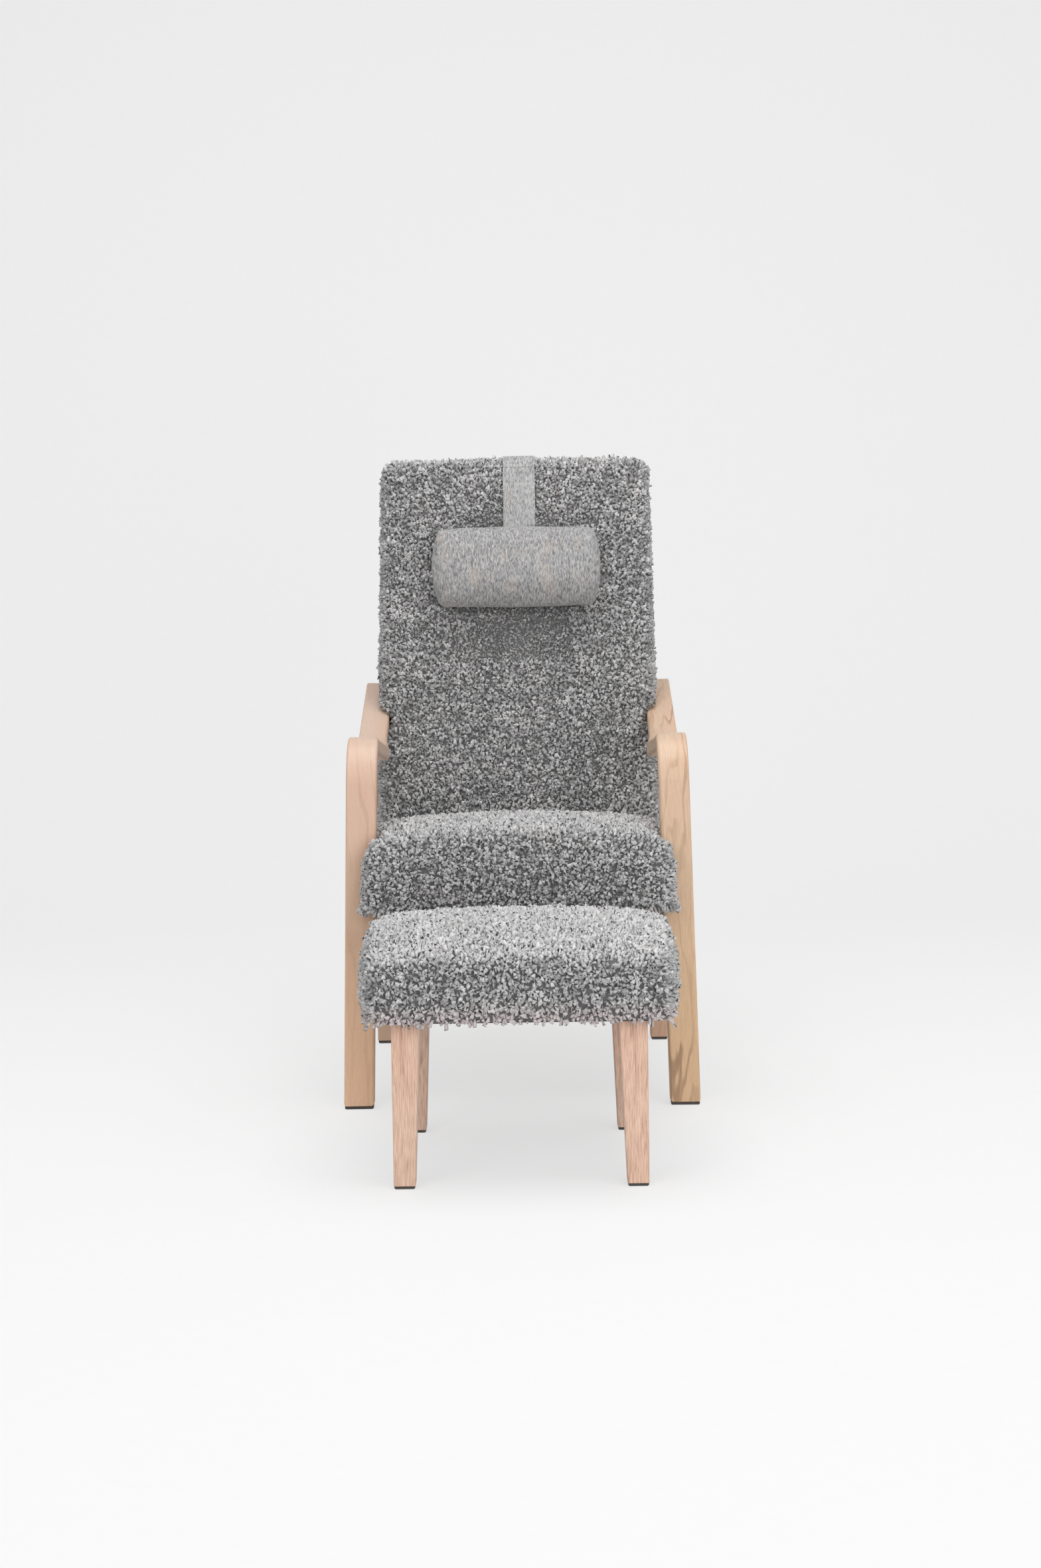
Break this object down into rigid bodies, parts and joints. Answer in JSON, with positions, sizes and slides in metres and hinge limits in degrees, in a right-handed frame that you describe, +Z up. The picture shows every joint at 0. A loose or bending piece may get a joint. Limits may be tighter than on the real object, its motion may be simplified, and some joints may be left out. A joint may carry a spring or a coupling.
{
  "type": "lounge chair with footstool",
  "caption": "High-backed lounge chair with bent-wood armrests, fleece-covered seat and back, a neck pillow hung on a strap over the back, and a matching footstool.",
  "frame": {"origin": "middle of the underside of the chair and footstool together, on the floor", "axes": "+X to the sitter's left, which is the right side of the picture; +Y towards the chair's back; +Z up; the footstool stands on the -Y side"},
  "size_m": [0.6104, 1.2566, 1.1489],
  "materials": {
    "frame_wood": "clear satin lacquer",
    "rail_wood": "clear satin lacquer",
    "dowel_wood": "plain",
    "hidden_wood": "plain plywood",
    "stool_leg_wood": "clear satin lacquer",
    "zinc_steel": "zinc plated",
    "clip_plastic": "matt",
    "glide_plastic": "matt",
    "grey_fleece": "curly pile",
    "filling": "soft foam",
    "dust_cloth": "matt",
    "webbing": "matt",
    "heather_cloth": "woven"
  },
  "bodies": {
    "chair": {"arm_right": "frame_wood", "arm_left": "frame_wood", "rear_leg_right": "frame_wood", "rear_leg_left": "frame_wood", "side_rail_right": "rail_wood", "side_rail_left": "rail_wood", "rail_dowels": "dowel_wood", "arm_dowels": "dowel_wood", "front_cross_rail": "rail_wood", "rear_cross_rail": "rail_wood", "rail_bolts": "zinc_steel", "barrel_nuts": "zinc_steel", "seat_frame": "hidden_wood", "seat_bolts": "zinc_steel", "seat_springs": "zinc_steel", "spring_clips": "clip_plastic", "seat_foam": "filling", "seat_fleece_cover": "grey_fleece", "seat_dust_cloth": "dust_cloth", "back_frame": "hidden_wood", "back_webbing": "webbing", "back_foam": "filling", "back_fleece_cover": "grey_fleece", "back_rear_panel": "heather_cloth", "back_bolts": "zinc_steel", "back_nuts": "zinc_steel", "chair_glides": "glide_plastic", "chair_glide_pins": "zinc_steel", "strap_top_run": "heather_cloth"},
    "neck_pillow": {"pillow_wrap": "heather_cloth", "pillow_end_panels": "heather_cloth", "pillow_filling": "filling", "strap_front_run": "heather_cloth"},
    "counterweight": {"counterweight_pouch": "heather_cloth", "counterweight_bar": "zinc_steel", "strap_rear_run": "heather_cloth"},
    "footstool": {"stool_frame": "hidden_wood", "stool_corner_blocks": "hidden_wood", "stool_webbing": "webbing", "stool_foam": "filling", "stool_fleece_cover": "grey_fleece", "stool_dust_cloth": "dust_cloth", "stool_leg_front_left": "stool_leg_wood", "stool_leg_front_right": "stool_leg_wood", "stool_leg_rear_left": "stool_leg_wood", "stool_leg_rear_right": "stool_leg_wood", "stool_leg_bolts": "zinc_steel", "stool_glides": "glide_plastic", "stool_glide_pins": "zinc_steel"}
  },
  "joints": [
    {"name": "pillow_slide", "type": "slide", "parent": "chair", "child": "neck_pillow", "axis": [0, 0.2588, 0.9659], "range_m": [-0.12, 0.07], "deforming": ["strap_front_run"]},
    {"name": "counterweight_slide", "type": "slide", "parent": "chair", "child": "counterweight", "axis": [0, 0.2588, 0.9659], "range_m": [-0.07, 0.12], "deforming": ["strap_rear_run"]},
    {"name": "footstool_slide", "type": "slide", "parent": "chair", "child": "footstool", "axis": [0, -1, 0], "range_m": [0, 0.5]}
  ],
  "couplings": [
    {"joint": "counterweight_slide", "follows": "pillow_slide", "ratio": -1}
  ]
}
